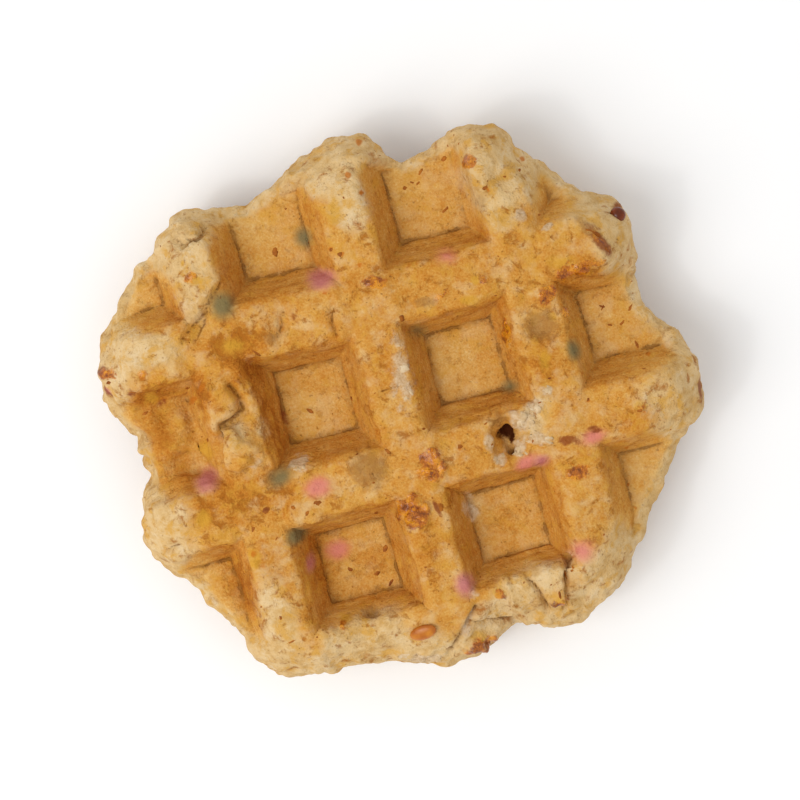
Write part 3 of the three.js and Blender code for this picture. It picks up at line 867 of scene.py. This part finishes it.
# The rest are scattered by chance over both faces.
SPECKS = 200
SPECK_THICKNESS = 0.16
LOWEST_SPECK = 0.8 * METRES
draw = np.random.default_rng(12)
corners = read_mesh("co")
normals = read_mesh("normal")
for pick in draw.integers(0, len(corners), SPECKS):
    if corners[pick, 2] < LOWEST_SPECK:
        continue
    length = draw.uniform(0.25, 0.7)
    width = length * draw.uniform(0.4, 0.8)
    spots.append((corners[pick], normals[pick], draw.uniform(0, math.pi), length, width, SPECK_THICKNESS))
flecks = ragged_bits("bran_flecks", spots, seed=4, sunk=0.22, rough=0.25)

bran = Finish("burnt_bran")
bran_tone = bran.bumps(1.2, detail=2, seed=9)
bran_colour = bran.tint(bran_tone, ((0.3, (0.19, 0.045, 0.004)), (0.7, (0.44, 0.145, 0.015))))
bran.feed(bran.shader.inputs["Base Color"], bran_colour)
bran.feed(bran.shader.inputs["Roughness"], 0.45 + 0.3 * bran_tone)
bran.shader.inputs["Specular IOR Level"].default_value = 0.15
flecks.data.materials.append(bran.material)
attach(flecks, "root")

# Burst pearl sugar
# Sugar pearls that melted on the hot plates and set again in the crust: amber glassy crumbs, a smooth
# toffee drop on the lower edge, and a burnt bead on the right one.

# Each cluster of crumbs: x, y, its reach along and across, turn and count.
SUGAR = (
    (1.7, -10.6, 2.4, 2.6, 0, 7),
    (-2.7, -17.9, 3.0, 3.0, 0, 10),
    (25.7, -18.5, 1.7, 1.4, 0, 5),
    (21.5, 37.8, 1.0, 0.8, 0, 4),
    (34.6, 15.4, 4.2, 0.9, 4, 7),
    (28.3, 12.2, 1.1, 1.4, 0, 5),
    (0.4, 22.0, 1.8, 0.7, -15, 5),
    (20.4, 7.8, 0.4, 2.4, 0, 4),
    (-48.4, 18.4, 1.0, 0.8, 0, 3),
)
spots = cluster(SUGAR, np.random.default_rng(21), sizes=(0.7, 1.7), thick=0.45)
crumbs = ragged_bits("amber_sugar", spots, seed=22, sunk=0.38, rough=0.45, angular=True)


def drop(name, near, turned, size):
    """A smooth drop of sugar on the dough's surface nearest to a place. Sizes are in millimetres."""
    hit, normal, _, _ = skin.find_nearest(Vector(near) * METRES)
    bpy.ops.object.select_all(action="DESELECT")
    bpy.ops.mesh.primitive_uv_sphere_add(segments=32, ring_count=20, radius=0.5)
    made = bpy.context.object
    made.name = name
    stretch = Matrix.Diagonal((*[length * METRES for length in size], 1))
    lying = flat_on(normal, math.radians(turned)).to_4x4()
    made.data.transform(Matrix.Translation(hit) @ lying @ stretch)
    made.data.shade_smooth()
    return made


nib = drop("burnt_drop", (-7.9, -39.8, 26), 13, (5.0, 2.8, 1.5))
bead = drop("burnt_bead", (46.2, 25.0, 18), 0, (2.8, 2.4, 2.6))


def set_sugar(name, noise, stops, smoothest, spread, gloss):
    """Set sugar, its colour and roughness both taken from one cloudy signal."""
    sugar = Finish(name)
    tone = sugar.bumps(**noise)
    sugar.feed(sugar.shader.inputs["Base Color"], sugar.tint(tone, stops))
    sugar.feed(sugar.shader.inputs["Roughness"], smoothest + spread * tone)
    sugar.shader.inputs["Specular IOR Level"].default_value = gloss
    return sugar


amber_glass = set_sugar(
    "amber_sugar",
    {"size": 1.0, "detail": 3, "rough": 0.6, "seed": 3},
    ((0.36, (0.22, 0.042, 0.001)), (0.48, (0.48, 0.135, 0.002)), (0.62, (0.72, 0.29, 0.010))),
    smoothest=0.1,
    spread=0.5,
    gloss=0.35,
)
burnt_glass = set_sugar(
    "burnt_sugar",
    {"size": 1.4, "detail": 2, "seed": 6},
    ((0.3, (0.07, 0.009, 0.001)), (0.7, (0.20, 0.034, 0.003))),
    smoothest=0.15,
    spread=0.2,
    gloss=0.3,
)
toffee = set_sugar(
    "toffee_sugar",
    {"size": 2.6, "detail": 3, "seed": 14},
    ((0.3, (0.28, 0.060, 0.002)), (0.5, (0.43, 0.120, 0.005)), (0.7, (0.58, 0.21, 0.012))),
    smoothest=0.15,
    spread=0.3,
    gloss=0.35,
)
for piece, finish in ((crumbs, amber_glass), (nib, toffee), (bead, burnt_glass)):
    piece.data.materials.append(finish.material)
    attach(piece, "root")

# Torn crumb
# Soft white crumb that shows where the crust tore open: loose pale crumbs round the hole, on the ridge and
# at the edge.

CRUMB = (
    (24.0, -3.7, 1.0, 0.9, 0, 4),
    (21.6, -5.8, 1.8, 0.9, 45, 6),
    (19.0, -7.8, 1.6, 1.5, 0, 8),
    (20.4, -11.3, 2.5, 0.8, -15, 8),
    (16.8, -12.6, 1.5, 0.6, -15, 5),
    (13.3, -13.0, 1.0, 0.7, 0, 3),
    (0.9, 5.0, 6.0, 1.4, 82, 4),
    (-8.6, -43.8, 4.0, 1.2, -14, 12),
    (-20.4, -5.0, 1.8, 0.8, 20, 4),
)
spots = cluster(CRUMB, np.random.default_rng(31), sizes=(1.0, 2.4), thick=0.26)
torn = ragged_bits("torn_crumb", spots, seed=32, sunk=0.36, rough=0.3)

crumb_white = Finish("torn_crumb")
crumb_colour = crumb_white.tint(
    crumb_white.bumps(1.3, detail=3, rough=0.6, seed=8),
    ((0.3, (0.46, 0.29, 0.13)), (0.5, (0.60, 0.43, 0.24)), (0.7, (0.70, 0.55, 0.36))),
)
crumb_white.feed(crumb_white.shader.inputs["Base Color"], crumb_colour)
crumb_white.shader.inputs["Roughness"].default_value = 0.7
crumb_white.shader.inputs["Specular IOR Level"].default_value = 0.2
torn.data.materials.append(crumb_white.material)
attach(torn, "root")

# The studio
# A pale bench and soft daylight from the upper left, seen almost straight from above.

bpy.ops.object.select_all(action="DESELECT")
bpy.ops.mesh.primitive_plane_add(size=3)
bench = bpy.context.object
bench.name = "bench"
bench_finish = bpy.data.materials.new("bench_white")
bench_finish.use_nodes = True
bench_finish.node_tree.nodes["Principled BSDF"].inputs["Base Color"].default_value = (0.93, 0.93, 0.93, 1)
bench_finish.node_tree.nodes["Principled BSDF"].inputs["Roughness"].default_value = 0.9
bench.data.materials.append(bench_finish)

sky = bpy.data.worlds.new("soft_sky")
sky.use_nodes = True
sky.node_tree.nodes["Background"].inputs["Color"].default_value = (1, 1, 1, 1)
sky.node_tree.nodes["Background"].inputs["Strength"].default_value = 0.76
bpy.context.scene.world = sky

CAMERA_TURN = math.radians(14.97)
LIGHTS_DISTANCE = 0.9
SUN_SIDE = Vector((-0.60, -0.30, 1.0))  # towards the light, as the picture shows it: right, up and out
light = bpy.data.lights.new("window", "AREA")
light.shape = "DISK"
light.size = 0.7
light.energy = 3.6
window = bpy.data.objects.new("window", light)
bpy.context.collection.objects.link(window)
towards = Matrix.Rotation(-CAMERA_TURN, 3, "Z") @ SUN_SIDE.normalized()
aimed = towards.to_track_quat("Z", "Y").to_matrix().to_4x4()
window.matrix_world = Matrix.Translation(towards * LIGHTS_DISTANCE) @ aimed

# A small lamp in the middle of the window, for glints on the sugar.
sparkle = bpy.data.lights.new("sparkle", "AREA")
sparkle.shape = "DISK"
sparkle.size = 0.12
sparkle.energy = 0.6
lamp = bpy.data.objects.new("sparkle", sparkle)
bpy.context.collection.objects.link(lamp)
lamp.matrix_world = window.matrix_world.copy()

# The camera looks almost straight down, and leans a little about the picture's two sides.
TARGET = Vector((-0.926, 0.580, 16.0)) * METRES
DISTANCE = 520 * METRES
PICTURE_WIDTH = 140 * METRES  # what the picture spans at the target
LEAN_X = math.radians(-4.89)
LEAN_Y = math.radians(0.63)
RAISED = 0.175 * METRES
SENSOR = 36
bpy.ops.object.camera_add()
camera = bpy.context.object
camera.data.sensor_width = SENSOR
camera.data.sensor_height = SENSOR
camera.data.lens = SENSOR * DISTANCE / PICTURE_WIDTH
camera.matrix_world = (
    Matrix.Translation(TARGET)
    @ Matrix.Rotation(-CAMERA_TURN, 4, "Z")
    @ Matrix.Rotation(LEAN_Y, 4, "Y")
    @ Matrix.Rotation(LEAN_X, 4, "X")
    @ Matrix.Translation((0, RAISED, DISTANCE))
)
bpy.context.scene.camera = camera
bpy.context.scene.view_settings.view_transform = "Standard"
